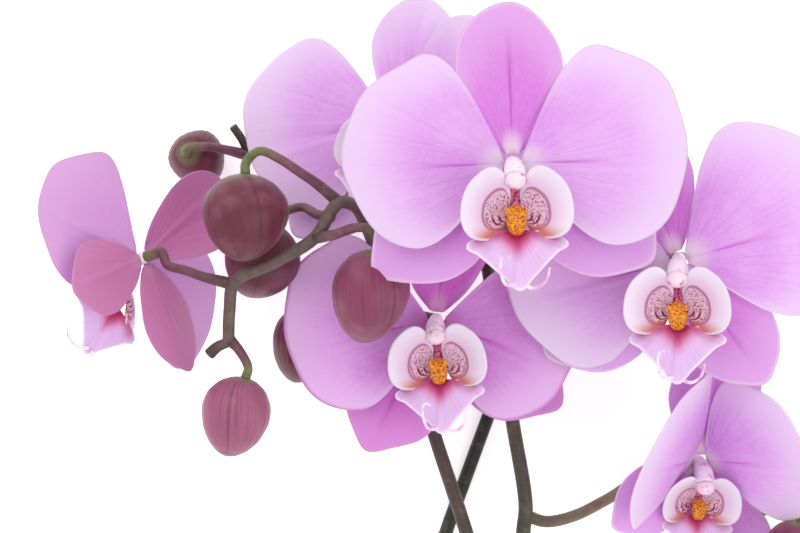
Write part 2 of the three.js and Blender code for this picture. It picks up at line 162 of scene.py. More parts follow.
# ---------------------------------------------------------------- small tools
def linear(*rgb):
    """A colour given as 0-255 screen values, as linear values with alpha."""
    scaled = [value / 255 for value in rgb]
    return tuple(v / 12.92 if v <= 0.04045 else ((v + 0.055) / 1.055) ** 2.4 for v in scaled) + (1.0,)


def cubic(s, start, start_slope, end, end_slope):
    """Hermite blend between two values at share s, with slopes per step."""
    return ((2 * s**3 - 3 * s**2 + 1) * start + (s**3 - 2 * s**2 + s) * start_slope
            + (3 * s**2 - 2 * s**3) * end + (s**3 - s**2) * end_slope)


def outline_at(outline, angle):
    """Reach of an outline at each angle, smoothly between its listed values."""
    angles = np.array([a for a, _ in outline], float)
    radii = np.array([r for _, r in outline], float)
    k = np.clip(np.searchsorted(angles, angle, side="right") - 1, 0, len(angles) - 2)
    before = np.maximum(k - 1, 0)
    after = np.minimum(k + 2, len(angles) - 1)
    span = angles[k + 1] - angles[k]
    start_slope = (radii[k + 1] - radii[before]) / (angles[k + 1] - angles[before]) * span
    end_slope = (radii[after] - radii[k]) / (angles[after] - angles[k]) * span
    s = np.clip((angle - angles[k]) / span, 0, 1)
    return cubic(s, radii[k], start_slope, radii[k + 1], end_slope)


def hermite(knots, values, place):
    """Smooth curve through values at knots, evaluated at place."""
    slope = np.gradient(values, knots)
    k = np.clip(np.searchsorted(knots, place, side="right") - 1, 0, len(knots) - 2)
    span = knots[k + 1] - knots[k]
    return cubic((place - knots[k]) / span, values[k], slope[k] * span, values[k + 1], slope[k + 1] * span)


def even_angles(outline, count):
    """Angles that divide an outline into stretches of the same length."""
    angles = np.linspace(outline[0][0], outline[-1][0], OUTLINE_SAMPLES)
    radii = outline_at(outline, angles)
    x = radii * np.cos(np.radians(angles))
    y = radii * np.sin(np.radians(angles))
    run = np.concatenate([[0], np.cumsum(np.hypot(np.diff(x), np.diff(y)))])
    return np.interp(np.linspace(0, run[-1], count), run, angles)


def add_mesh(name, points, faces, values, material, replaced):
    """A smooth mesh object riding the frame. Points are in metres and values are its float attributes."""
    mesh = bpy.data.meshes.new(name)
    mesh.from_pydata(points.tolist(), [], faces)
    mesh.shade_smooth()
    for key, data in values.items():
        kind = "FLOAT_COLOR" if data.ndim == 2 else "FLOAT"
        field = "color" if data.ndim == 2 else "value"
        mesh.attributes.new(key, kind, "POINT").data.foreach_set(field, data.astype(np.float32).ravel())
    mesh.materials.append(material)
    piece = bpy.data.objects.new(name, mesh)
    bpy.context.scene.collection.objects.link(piece)
    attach(piece, "root")
    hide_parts(replaced)
    return piece


def grid_faces(rows, columns, start=0, flip=False):
    """Quads of a grid of points with the given number of rows and columns of points."""
    index = np.arange(rows * columns).reshape(rows, columns) + start
    a, b, c, d = index[:-1, :-1], index[1:, :-1], index[1:, 1:], index[:-1, 1:]
    order = (a, d, c, b) if flip else (a, b, c, d)
    return np.stack([corner.ravel() for corner in order], axis=1)


def shell(surface, thickness):
    """Points and faces of a closed thin shell about a grid surface, with a thickness at each point."""
    rows, columns = surface.shape[:2]
    normal = np.cross(np.gradient(surface, axis=0), np.gradient(surface, axis=1))
    normal /= np.linalg.norm(normal, axis=2, keepdims=True) + 1e-12
    half = normal * thickness[..., None] / 2
    front = (surface + half).reshape(-1, 3)
    back = (surface - half).reshape(-1, 3)
    under = len(front)
    index = np.arange(under).reshape(rows, columns)
    rim = np.concatenate([index[0, :-1], index[:-1, -1], index[-1, :0:-1], index[:0:-1, 0]])
    following = np.roll(rim, -1)
    walls = np.stack([rim, following, following + under, rim + under], axis=1)
    faces = np.concatenate([grid_faces(rows, columns), grid_faces(rows, columns, under, True), walls])
    return np.concatenate([front, back]), faces.tolist()


# ---------------------------------------------------------------- flower shapes
def no_relief(t, angle):
    """Relief of a tepal in its plain form, as in the solid model."""
    return 0


def tepal_surface(shape, outline, length, mirrored, t, angle):
    """Middle surface of a tepal in its flower's frame, at a grid of distances t and angles."""
    ripple = shape.get("ripple", no_relief)(t, angle)
    reach = outline_at(outline, angle) * shape["grow"] * t * (1 + ripple)
    x = reach * np.cos(np.radians(angle))
    side = np.interp(angle, [a for a, _ in outline], np.linspace(-1, 1, len(outline)))
    y = side * shape["foot"] * (1 - t) + reach * np.sin(np.radians(angle))
    out = x / (length * shape["grow"])
    lift = shape["bow"] * out**2 + shape["cup"] * (y / (length / 2)) ** 2 * np.minimum(1, t * 2)
    lift = lift + shape.get("detail", no_relief)(t, angle)
    lean = math.radians(shape["tip"])
    u = CLAW_REACH + x * math.cos(lean) - lift * math.sin(lean)
    v = -y if mirrored else y
    turn = math.radians(shape["turn"])
    return np.stack([u * math.cos(turn) - v * math.sin(turn), u * math.sin(turn) + v * math.cos(turn),
                     shape["level"] + x * math.sin(lean) + lift * math.cos(lean)], axis=-1)


def area_centroid(points, triangles):
    """Middle of a surface, weighted by area."""
    a, b, c = (points[triangles[:, i]] for i in range(3))
    area = np.linalg.norm(np.cross(b - a, c - a), axis=1)
    return ((a + b + c) / 3 * area[:, None]).sum(0) / area.sum()


def node_centroid(name):
    """Middle of a frame node's surface."""
    mesh = nodes[name].data
    mesh.calc_loop_triangles()
    points = np.array([v.co for v in mesh.vertices])
    return area_centroid(points, np.array([t.vertices[:] for t in mesh.loop_triangles]))


def flower_shapes(flower):
    """Every tepal's shape in one flower, with its outline, length and handedness."""
    shapes = {}
    for part, standard in TEPALS.items():
        change = FLOWERS[flower]["change"].get(part, {})
        shape = {**standard, **change}
        shape["tip"] += FLOWERS[flower]["closing"]
        is_petal = part.startswith("petal")
        outline = PETAL_OUTLINE if is_petal else SEPAL_OUTLINE
        length = PETAL_LENGTH if is_petal else SEPAL_LENGTH
        shapes[part] = (shape, outline, length, part == "petal_left")
    return shapes


def flower_pose(flower, shapes):
    """The function that carries points of a flower's own shapes to the frame: the turn, size and place
    that best fit the middles of its tepals to their nodes."""
    local, world = [], []
    for part, (shape, outline, length, mirrored) in shapes.items():
        angle, t = np.meshgrid([a for a, _ in outline], np.linspace(0, 1, MODEL_ROWS))
        surface = tepal_surface(shape, outline, length, mirrored, t, angle)
        quads = grid_faces(*surface.shape[:2])
        triangles = np.concatenate([quads[:, [0, 1, 2]], quads[:, [0, 2, 3]]])
        local.append(area_centroid(surface.reshape(-1, 3), triangles))
        world.append(node_centroid(f"{flower}_{part}"))
    local, world = np.array(local), np.array(world)
    p, q = local - local.mean(0), world - world.mean(0)
    left, stretch, right = np.linalg.svd(q.T @ p)
    sign = np.diag([1, 1, np.sign(np.linalg.det(left @ right))])
    turn = left @ sign @ right
    size = (stretch @ np.diag(sign)) / (p**2).sum()
    place = world.mean(0) - size * turn @ local.mean(0)
    return lambda points: points @ (size * turn).T + place


def tepal_detail(seed, is_petal):
    """Relief of a tepal beyond its plain form: midrib groove, wavy margin, slow swells and fine pleats."""
    phase = np.random.default_rng(seed).uniform(0, 2 * math.pi, 4)
    wave_height = PETAL_WAVE if is_petal else SEPAL_WAVE

    def detail(t, angle):
        across = np.radians(angle)
        fade = np.sin(math.pi * np.clip(t, 0, 1)) ** 0.7
        groove = -GROOVE_DEPTH * np.exp(-(angle / GROOVE_ANGLE) ** 2) * fade
        waves = np.sin(across * 5 + phase[0]) + 0.6 * np.sin(across * 9 + phase[1])
        swell = SWELL_HEIGHT * np.sin(3.1 * t + 2.2 * across + phase[2]) * t
        pleats = np.sin(across * PLEAT_RATE + 1.5 * np.sin(4 * t + phase[3])) * np.sin(math.pi * t)
        return groove + wave_height * waves * t**4 + swell + PLEAT_HEIGHT * pleats

    return detail


def tepal_ripple(seed, is_lateral):
    """How far a tepal's margin runs out of its plain outline, as a share: soft waves, and a point at the
    tip of a lateral sepal."""
    phase = np.random.default_rng(100 + seed).uniform(0, 2 * math.pi, 2)
    point = TIP_POINT if is_lateral else 0

    def ripple(t, angle):
        across = np.radians(angle)
        waves = SLOW_RIPPLE * np.sin(6 * across + phase[0]) + FAST_RIPPLE * np.sin(13 * across + phase[1])
        return (waves + point * np.exp(-(angle / TIP_ANGLE) ** 2)) * t**3

    return ripple


def build_tepals(flower, number, shapes, pose):
    """The five tepals of a flower, each over its node."""
    for order, (part, (shape, outline, length, mirrored)) in enumerate(shapes.items()):
        is_petal = part.startswith("petal")
        seed = 10 * number + order
        rows = np.linspace(0, 1, TEPAL_ROWS) ** ROW_SPREAD
        angle, t = np.meshgrid(even_angles(outline, TEPAL_COLUMNS), rows)
        shape = {**shape, "detail": tepal_detail(seed, is_petal),
                 "ripple": tepal_ripple(seed, part.startswith("lateral"))}
        surface = tepal_surface(shape, outline, length, mirrored, t, angle)
        points, faces = shell(surface, TEPAL_THICKNESS * (1 - RIM_THINNING * t**3))
        around = np.tile((angle / outline[-1][0]).ravel(), 2)
        back = np.repeat([1.0, 0.0] if mirrored else [0.0, 1.0], t.size)
        values = {"along": np.tile(t.ravel(), 2), "around": around, "back": back,
                  "depth": np.full(2 * t.size, FLOWERS[flower]["depth"])}
        is_pale = is_petal or FLOWERS[flower].get("pale_sepals", False)
        material = petal_skin if is_pale else sepal_skin
        add_mesh(f"{flower}_{part}_fine", pose(points), faces, values, material, f"{flower}_{part}")


def tube_faces(rings, sides):
    """Faces of a closed tube whose points are its rings, then its two ends."""
    index = np.arange(rings * sides).reshape(rings, sides)
    around = np.roll(index, -1, axis=1)
    start, end = rings * sides, rings * sides + 1
    faces = np.stack([index[:-1], around[:-1], around[1:], index[1:]], axis=-1).reshape(-1, 4).tolist()
    faces += [[around[0, j], index[0, j], start] for j in range(sides)]
    faces += [[index[-1, j], around[-1, j], end] for j in range(sides)]
    return faces


def tube(course, radii, sides, rings):
    """Points, faces, and distance along, of a round tube on a smooth curve through the course."""
    course = np.array(course, float)
    chord = np.linalg.norm(np.diff(course, axis=0), axis=1) ** 0.5
    knots = np.concatenate([[0], np.cumsum(chord)])
    place = np.linspace(0, knots[-1], rings)
    centre = np.stack([hermite(knots, course[:, i], place) for i in range(3)], axis=1)
    radius = np.interp(np.linspace(0, 1, rings), np.linspace(0, 1, len(radii)), radii)
    heading = np.gradient(centre, axis=0)
    heading /= np.linalg.norm(heading, axis=1, keepdims=True)
    normal = np.cross(heading[0], TUBE_SIDE)
    points = []
    turn = np.linspace(0, 2 * math.pi, sides, endpoint=False)
    for i in range(rings):
        normal = normal - heading[i] * (normal @ heading[i])
        normal /= np.linalg.norm(normal)
        side = np.cross(heading[i], normal)
        ring = np.cos(turn)[:, None] * normal + np.sin(turn)[:, None] * side
        points.append(centre[i] + radius[i] * ring)
    points = np.concatenate([*points, centre[:1], centre[-1:]])
    along = np.concatenate([np.repeat(np.linspace(0, 1, rings), sides), [0, 1]])
    return points, tube_faces(rings, sides), along


def fan(centre, turn, outline, height, columns):
    """Surface of a lip lobe: a fan about a centre, with its distances and angles."""
    angle, t = np.meshgrid(even_angles(outline, columns), np.linspace(0, 1, LOBE_ROWS))
    reach = outline_at(outline, angle) * t + LOBE_WAIST * (1 - t)
    around = np.radians(turn + angle)
    lift = height(reach, np.radians(angle), t)
    surface = np.stack([centre[0] + reach * np.cos(around), centre[1] + reach * np.sin(around),
                        centre[2] + lift], axis=-1)
    return surface, t, angle


def side_lobe_height(reach, angle, t):
    """Lift of a side lobe: it rises outward and its rim curls back."""
    return SIDE_LOBE_RISE * (reach / SIDE_LOBE_REACH) ** 1.5 - SIDE_LOBE_CURL * t**6


def mid_lobe_height(reach, angle, t):
    """Lift of the mid-lobe: a slope up to its tip, a ridge along its middle and a wavy rim."""
    ridge = RIDGE_HEIGHT * np.exp(-(np.degrees(angle) / RIDGE_ANGLE) ** 2) * t * (1 - t) * 4
    slope = MID_LOBE_SLOPE * reach * np.cos(angle) + MID_LOBE_CUP * reach
    return slope + ridge + MID_LOBE_WAVE * np.sin(5 * angle) * t**3


def build_lip(flower, pose, size):
    """The lip: two side lobes, mid-lobe, claw, warty callus with two horns, and two cirri."""
    def add(part, points, faces, material, values=None):
        placed = pose((points - LIP_FOOT) * size + LIP_SEAT)
        add_mesh(f"{flower}_{part}", placed, faces, values or {}, material, f"{flower}_lip")

    def add_lobe(part, centre, turn, outline, height, columns, thickness, width, material):
        """width is the angle at which the attribute around is 1, below 0 where it runs the other way."""
        surface, t, angle = fan(centre, turn, outline, height, columns)
        points, faces = shell(surface, thickness - LOBE_THINNING * t**2)
        values = {"along": np.tile(t.ravel(), 2), "around": np.tile((angle / width).ravel(), 2)}
        add(part, points, faces, material, values)

    x, y, z = SIDE_LOBE_CENTRE
    width = SIDE_LOBE_OUTLINE[-1][0]
    mirrored = [(-angle, reach) for angle, reach in reversed(SIDE_LOBE_OUTLINE)]
    add_lobe("side_lobe_right", (x, y, z), SIDE_LOBE_TURN, SIDE_LOBE_OUTLINE, side_lobe_height,
             SIDE_LOBE_COLUMNS, SIDE_LOBE_THICKNESS, -width, lobe_skin)
    add_lobe("side_lobe_left", (-x, y, z), 180 - SIDE_LOBE_TURN, mirrored, side_lobe_height,
             SIDE_LOBE_COLUMNS, SIDE_LOBE_THICKNESS, width, lobe_skin)
    add_lobe("mid_lobe", MID_LOBE_CENTRE, MID_LOBE_TURN, MID_LOBE_OUTLINE, mid_lobe_height,
             MID_LOBE_COLUMNS, MID_LOBE_THICKNESS, MID_LOBE_OUTLINE[-1][0], mid_lobe_skin)

    points, faces, _ = tube(**CLAW)
    add("lip_claw", points, faces, claw_skin)
    points, faces, along = tube(**CALLUS)
    across, down, up = points[:, :1], points[:, 1:2], points[:, 2:]
    warts = WART_HEIGHT * np.sin(across * 3.1) * np.sin(down * 2.7)
    cleft = np.exp(-(across / CLEFT_WIDTH) ** 2) * (up > CLEFT_FLOOR) * np.clip(along[:, None] * 6, 0, 1)
    points = points + np.array([0, 0, 1]) * (warts - CLEFT_DEPTH * cleft)
    add("callus", points, faces, callus_skin)
    for sign, side in ((1, "right"), (-1, "left")):
        points, faces, _ = tube([(sign * x, y, z) for x, y, z in HORN_COURSE], HORN_RADII, 16, 16)
        add(f"callus_horn_{side}", points, faces, callus_skin)
    for side, course in CIRRI.items():
        points, faces, _ = tube(course, CIRRUS_RADII, 10, 48)
        add(f"cirrus_{side}", points, faces, cirrus_skin)


def build_column(flower, pose):
    """The column and the anther cap on its end."""
    for part, form, material in (("column", COLUMN, column_skin), ("anther_cap", ANTHER_CAP, cap_skin)):
        points, faces, _ = tube(**form)
        add_mesh(f"{flower}_{part}_fine", pose(points), faces, {}, material, f"{flower}_{part}")


# ---------------------------------------------------------------- stem and buds
# Courses of the stem's branches and of the stalks, in the solid model's millimetres before its origin
# is set; align_to_frame() finds that shift from the frame. tones are colours along a branch.
OLIVE = linear(66, 62, 50)
DARK_GREEN = linear(34, 38, 30)
PURPLE_BROWN = linear(74, 56, 54)
GREY_BROWN = linear(98, 80, 76)
TAN = linear(150, 132, 106)
BURGUNDY = linear(112, 66, 82)
BUD_GREEN = linear(112, 116, 70)
STEM_SIDES, FEWEST_RINGS, RING_STEP = 28, 24, 0.9
BRANCHES = [
    dict(name="main_stem", radii=[2.8, 2.25, 1.7], tones=[OLIVE, OLIVE, PURPLE_BROWN], course=[
        (46.6, -310.4, 2.66), (44.3, -235.4, 3.2), (41, -186.8, 5), (38.9, -140.3, 9), (38.3, -105.5, 14),
        (39.1, -83.7, 17), (39.7, -75.1, 19), (35.6, -49.6, 22.5), (30.8, -21.3, 25), (27.2, 1.4, 25),
        (23.7, 17.4, 22), (16.1, 27.4, 17.5), (6.3, 33.9, 13.5), (-6.3, 38, 11), (-25.3, 38.8, 9.5),
        (-40.9, 36.7, 11), (-47.9, 35.2, 14)]),
    dict(name="left_branch", radii=[2.3, 1.8], tones=[OLIVE, PURPLE_BROWN, GREY_BROWN, GREY_BROWN], course=[
        (38.9, -141.9, 10), (31.7, -118.5, 13), (21.1, -83.8, 17), (10.4, -51.1, 19), (2.5, -24.6, 22),
        (-3.7, -2.6, 28), (-7.5, 6, 37), (-10.2, 12.8, 49), (-13.5, 18.2, 58), (-18.2, 18.9, 61),
        (-25.3, 8.5, 61), (-37.3, 1.3, 58), (-49.6, -4.7, 53), (-51.3, -13.1, 50), (-51.8, -22.9, 48)]),
    dict(name="back_branch", radii=[2.3, 2], tones=[OLIVE, DARK_GREEN, DARK_GREEN], course=[
        (40.2, -171.9, 6.5), (25.5, -144.6, 4.6), (14.3, -112.6, 3), (12.7, -93.5, 2.15),
        (15.3, -84.5, 2.1), (20.7, -69.6, 2.05), (27.1, -52.1, 2.05), (35.6, -29.7, 2), (46, -12.2, 2.45),
        (58.5, -1.7, 5.5), (69.8, 0.8, 10)]),
    dict(name="right_branch", radii=[1.9, 1.6], tones=[OLIVE, TAN, TAN], course=[
        (39.7, -78.2, 18.5), (45.7, -80.5, 16.5), (55.2, -79.4, 11), (66.3, -74.6, 6), (77.2, -68.5, 3),
        (86.6, -66, 1.87), (94.7, -68.7, 2.4), (102.4, -73, 5), (110, -77, 7), (114.5, -77.5, 12)]),
    dict(name="left_stub", radii=[1.5, 1.8], tones=[GREY_BROWN, PURPLE_BROWN], course=[
        (-51.8, -22.9, 48), (-55.2, -24.4, 47), (-57.7, -26.6, 46)]),
    dict(name="top_stub", radii=[1.4, 1.3], tones=[PURPLE_BROWN, OLIVE], course=[
        (-47.9, 35.2, 14), (-49.4, 39.6, 17), (-52.4, 44.1, 19)]),
]
FLOWER_STALKS = {
    "flower1": [(30.6, -20, 25), (32, -6, 36), (31.5, 8, 48), (32, 22, 64)],
    "flower2": [(0, -15, 24.5), (5, -15, 26), (10.5, -15.8, 32)],
    "flower3": [(69.8, 0.8, 10), (79, 2, 14), (86, 3, 25), (86.5, 3, 42)],
    "flower4": [(86.6, -66, 2.6), (93, -64.5, 4), (95.5, -62.5, 7.5)],
    "flower5": [(-6, 38, 12), (-4, 39, 15), (0, 42, 21)],
    "flower6": [(-50.1, -5.3, 52.5), (-58.7, -3.2, 52), (-65.1, -1.1, 49), (-70.7, 0.6, 45)],
}
BUDS = {
    "bud1": dict(skin=linear(98, 34, 50), stalk=[
        (-47.9, 35.2, 14), (-54.5, 36.6, 21.5), (-60.6, 37.4, 26), (-65.5, 36.9, 27)]),
    "bud2": dict(skin=linear(98, 32, 52), stalk=[
        (-18.2, 19.3, 60), (-24.4, 24.5, 62), (-29.6, 28, 65), (-35.4, 31.8, 66), (-41.5, 34.2, 64)]),
    "bud3": dict(skin=linear(128, 54, 86), stalk=[
        (-25.3, 8.5, 61), (-19.1, 9.5, 65.5), (-13.2, 11.4, 68.5), (-9, 11, 69)]),
    "bud4": dict(skin=linear(104, 42, 64), stalk=[
        (-20.6, 14.8, 60.6), (-24.5, 15.5, 54), (-30, 18, 46)]),
    "bud5": dict(skin=linear(154, 84, 114), stalk=[
        (-51.6, -22, 48), (-48.5, -25.5, 47.5)]),
    "bud6": dict(skin=linear(100, 40, 58), stalk=[
        (-2.6, -6, 27.5), (-12, -3, 29), (-20, -4, 30.5)]),
    "bud7": dict(skin=linear(120, 46, 76), stalk=[
        (114.5, -77.5, 12), (117, -76, 22), (118.5, -72.5, 31.5)]),
}
BUD_PROFILE = [(0, 0.1), (0.02, 0.3), (0.06, 0.5), (0.2, 0.84), (0.4, 1), (0.6, 0.93), (0.8, 0.71),
               (0.93, 0.42), (0.98, 0.23), (1, 0.1)]
BUD_ROWS, BUD_COLUMNS = 70, 120
BUD_FIT = 0.985  # share of the node's width, which leaves room for the bulges
BUD_TWIST = 0.5  # radians from foot to tip
LOBE_BULGE, FINE_BULGE = 0.035, 0.01  # shares of the radius, about the three seams
SEAM_DEPTH, SEAM_ANGLE = 0.35, 0.035  # the angle in radians
BUD_PLEATS, BUD_PLEAT_HEIGHT = 27, 0.06
BUD_SIDE = [0.2, 0.1, 0.97]  # no bud points along this direction

# Where a stalk ends: behind the flower, in its own frame, or along the bud's axis from its foot.
STALK_END = [(0, 0, -9), (0, 0, -5), (0, 0, -2.1)]
BUD_APPROACH = [-3, 0.2]
FLOWER_STALK_RADII = [1.9, 1.45, 1.4, 1.45, 1.75]
FLOWER_STALK_TONES = [PURPLE_BROWN, BURGUNDY, BURGUNDY, BUD_GREEN]
BUD_STALK_RADII = [1.9, 1.5, 1.4, 1.35, 1.5]
BUD_STALK_TONES = [PURPLE_BROWN, BURGUNDY, BURGUNDY, BUD_GREEN, BUD_GREEN]

# ---------------------------------------------------------------- looks and stage
SPECULAR = 0.35
WHITE = (1, 1, 1, 1)
FLOOR_SIZE = 4  # metres
FLOOR_GLOW = 0.45
WORLD_STRENGTH = 0.93
SENSOR_WIDTH = 36
CAMERA_HEIGHT = 700  # above the front flower
VIEW_WIDTH = 230.4  # at the front flower's height
VIEW_OFFSET = (-32.5, -29.8)  # from the front flower to the middle of the view


def align_to_frame():
    """Shift from the courses' millimetres to the frame's, which share the middle of the stem's cut end."""
    low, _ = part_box("stem")
    end = np.mean([v.co for v in nodes["stem"].data.vertices if v.co.y < low.y + 1 * MM], axis=0) / MM
    start = BRANCHES[0]["course"][0]
    return np.array([end[0] - start[0], end[1] - start[1], 0])


def bud_ends(name, stem_points):
    """Foot, tip and width of a bud, from its node: the foot is the end nearer to the stem."""
    points = np.array([v.co for v in nodes[name].data.vertices])
    middle = points.mean(0)
    axis = np.linalg.svd(points - middle)[2][0]
    along = (points - middle) @ axis
    ends = [middle + axis * along.min(), middle + axis * along.max()]
    near = [np.linalg.norm(stem_points - end, axis=1).min() for end in ends]
    foot, tip = ends if near[0] < near[1] else ends[::-1]
    width = 2 * np.linalg.norm(points - middle - along[:, None] * axis, axis=1).max()
    return foot, tip, width


def build_bud(name, stem_points):
    """A bud over its node, with three seams and fine pleats. Returns its foot, in millimetres, and axis."""
    foot, tip, width = bud_ends(name, stem_points)
    axis = tip - foot
    length = np.linalg.norm(axis)
    axis = axis / length
    side = np.cross(axis, BUD_SIDE)
    side /= np.linalg.norm(side)
    other = np.cross(axis, side)
    place = (1 - np.cos(np.linspace(0, math.pi, BUD_ROWS))) / 2
    share = hermite(np.array([p for p, _ in BUD_PROFILE]), np.array([r for _, r in BUD_PROFILE]), place)
    phase = np.random.default_rng(sum(map(ord, name))).uniform(0, 2 * math.pi)
    angle = np.linspace(0, 2 * math.pi, BUD_COLUMNS, endpoint=False)
    u, theta = np.meshgrid(place, angle, indexing="ij")
    spiral = theta + phase + BUD_TWIST * u
    seam = np.exp(-((np.mod(spiral, 2 * math.pi / 3) - math.pi / 3) / SEAM_ANGLE) ** 2)
    bulge = 1 + LOBE_BULGE * np.cos(3 * spiral) + FINE_BULGE * np.cos(6 * spiral + 1)
    radius = share[:, None] * width / 2 * bulge * BUD_FIT
    radius -= seam * SEAM_DEPTH * MM * np.sin(math.pi * u) ** 0.6
    radius -= BUD_PLEAT_HEIGHT * MM * np.cos(BUD_PLEATS * spiral) * np.sin(math.pi * u)
    outward = np.cos(theta)[..., None] * side + np.sin(theta)[..., None] * other
    surface = foot + axis * (u[..., None] * length) + radius[..., None] * outward
    points = np.concatenate([surface.reshape(-1, 3), [foot], [tip]])
    skin = np.tile(np.array(BUDS[name]["skin"]), (len(points), 1))
    values = {"along": np.append(u.ravel(), [0, 1]), "around": np.append(spiral.ravel(), [0, 0]),
              "seam": np.append(seam.ravel(), [0, 0]), "tint": skin}
    add_mesh(f"{name}_fine", points, tube_faces(BUD_ROWS, BUD_COLUMNS), values, bud_skin, name)
    return foot / MM, axis


def tinted_tube(name, course, radii, tones, shift):
    """A stem or stalk tube with colours along it."""
    course = np.array(course, float) + shift
    length = np.linalg.norm(np.diff(course, axis=0), axis=1).sum()
    points, faces, along = tube(course, radii, STEM_SIDES, max(FEWEST_RINGS, int(length / RING_STEP)))
    tones = np.array(tones)
    place = along * (len(tones) - 1)
    k = np.minimum(place.astype(int), len(tones) - 2)
    mix = (place - k)[:, None]
    tint = tones[k] * (1 - mix) + tones[k + 1] * mix
    add_mesh(name, points * MM, faces, {"tint": tint}, stem_skin, "stem")


# ---------------------------------------------------------------- materials
class Shader:
    """A Principled material with small helpers for procedural colours."""

    def __init__(self, name, roughness, translucent=0.0, sheen=0.0, coat=0.0):
        self.material = bpy.data.materials.new(name)
        self.material.use_nodes = True
        self.tree = self.material.node_tree
        self.base = self.tree.nodes["Principled BSDF"]
        self.base.inputs["Roughness"].default_value = roughness
        self.base.inputs["Sheen Weight"].default_value = sheen
        self.base.inputs["Coat Weight"].default_value = coat
        self.base.inputs["Specular IOR Level"].default_value = SPECULAR
        self.translucent = translucent

    def set(self, socket, value):
        """Give a socket a plain value or a link."""
        if isinstance(value, bpy.types.NodeSocket):
            self.tree.links.new(value, socket)
        else:
            socket.default_value = value

    def attribute(self, name, output="Fac"):
        """One of the mesh's own values."""
        node = self.tree.nodes.new("ShaderNodeAttribute")
        node.attribute_name = name
        return node.outputs[output]

    def math(self, operation, a, b=0.0):
        """One Math node; b has no effect on operations of a single value."""
        node = self.tree.nodes.new("ShaderNodeMath")
        node.operation = operation
        self.set(node.inputs[0], a)
        self.set(node.inputs[1], b)
        return node.outputs[0]

    def product(self, *values):
        """All the values multiplied."""
        result = values[0]
        for value in values[1:]:
            result = self.math("MULTIPLY", result, value)
        return result

    def step(self, value, low, high):
        """0 below low, 1 above high, smooth between; low may be the larger one."""
        node = self.tree.nodes.new("ShaderNodeMapRange")
        node.interpolation_type = "SMOOTHSTEP"
        swap = low > high
        self.set(node.inputs["Value"], value)
        node.inputs["From Min"].default_value = min(low, high)
        node.inputs["From Max"].default_value = max(low, high)
        node.inputs["To Min"].default_value = 1.0 if swap else 0.0
        node.inputs["To Max"].default_value = 0.0 if swap else 1.0
        return node.outputs["Result"]

    def mix(self, color, other, *masks):
        """A colour turned into another one where the product of the masks is high."""
        node = self.tree.nodes.new("ShaderNodeMix")
        node.data_type = "RGBA"
        self.set(node.inputs["Factor"], self.product(*masks))
        self.set(node.inputs[6], color)
        self.set(node.inputs[7], other)
        return node.outputs[2]

    def noise(self, place, scale, detail, rough=0.5):
        """Noise from 0 to 1 at a place."""
        node = self.tree.nodes.new("ShaderNodeTexNoise")
        self.set(node.inputs["Vector"], place)
        node.inputs["Scale"].default_value = scale
        node.inputs["Detail"].default_value = detail
        node.inputs["Roughness"].default_value = rough
        return node.outputs["Fac"]

    def grain(self, scale, detail=3.0, rough=0.5):
        """Noise in space, with scale features to the metre."""
        node = self.tree.nodes.new("ShaderNodeNewGeometry")
        return self.noise(node.outputs["Position"], scale, detail, rough)

    def veins(self, around, count, along, change):
        """Noise drawn out along a piece: count sets how many veins lie side by side, change how they
        vary on their way."""
        place = self.tree.nodes.new("ShaderNodeCombineXYZ")
        self.set(place.inputs[0], self.product(around, count))
        self.set(place.inputs[1], self.product(along, change))
        return self.noise(place.outputs[0], 1.0, 2.0)

    def finish(self, color, height=None, distance=0.0, strength=0.0):
        """The finished material, bumped by height over a distance in metres."""
        self.set(self.base.inputs["Base Color"], color)
        if height is not None:
            bump = self.tree.nodes.new("ShaderNodeBump")
            bump.inputs["Strength"].default_value = strength
            bump.inputs["Distance"].default_value = distance
            self.set(bump.inputs["Height"], height)
            self.tree.links.new(bump.outputs[0], self.base.inputs["Normal"])
        if self.translucent:
            through = self.tree.nodes.new("ShaderNodeBsdfTranslucent")
            self.set(through.inputs["Color"], color)
            blend = self.tree.nodes.new("ShaderNodeMixShader")
            blend.inputs[0].default_value = self.translucent
            self.tree.links.new(self.base.outputs[0], blend.inputs[1])
            self.tree.links.new(through.outputs[0], blend.inputs[2])
            output = self.tree.nodes["Material Output"]
            self.tree.links.new(blend.outputs[0], output.inputs["Surface"])
        return self.material


def tepal_material(name, pale, deep, streak_width, streak_reach):
    """Petal or sepal skin. pale and deep are the colours at depth 0 and 1, each with its middle, rim,
    streak, claw and back."""
    s = Shader(name, roughness=0.48, translucent=0.22, sheen=0.15)
    along, around = s.attribute("along"), s.attribute("around")
    depth = s.attribute("depth")
    middle, rim, streak, claw, back = (s.mix(pale[key], deep[key], depth)
                                       for key in ("middle", "rim", "streak", "claw", "back"))
    slow = s.grain(60.0)
    color = s.mix(middle, rim, s.step(along, 0.45, 1.0))
    color = s.mix(color, rim, s.step(slow, 0.35, 0.7), 0.35)
    bent = s.math("ADD", around, s.product(s.math("SUBTRACT", slow, 0.5), 0.05))
    lines = s.veins(bent, 30.0, along, 1.3)
    color = s.mix(color, streak, s.step(lines, 0.5, 0.62), s.step(along, 1.0, 0.3), 0.2)
    color = s.mix(color, rim, s.step(s.grain(700.0, 3.0, 0.7), 0.42, 0.62), 0.16)
    band = s.step(s.math("ABSOLUTE", around), streak_width, 0.0)
    ends = s.product(s.step(along, 0.06, 0.22), s.step(along, streak_reach, streak_reach * 0.4))
    color = s.mix(color, streak, band, ends, 0.85)
    color = s.mix(color, claw, s.step(along, 0.2, 0.05))
    # A thin pale line along the margin in the claw colour: partly the edge's own paler colour, partly a
    # painted highlight where the thin edge lets light through.
    color = s.mix(color, claw, s.step(along, 0.965, 0.995), 0.7)
    color = s.mix(color, back, s.attribute("back"), 0.75)
    height = s.math("ADD", lines, s.product(s.grain(2600.0, 2.0), 0.35))
    return s.finish(color, height, 0.25 * MM, 0.35)


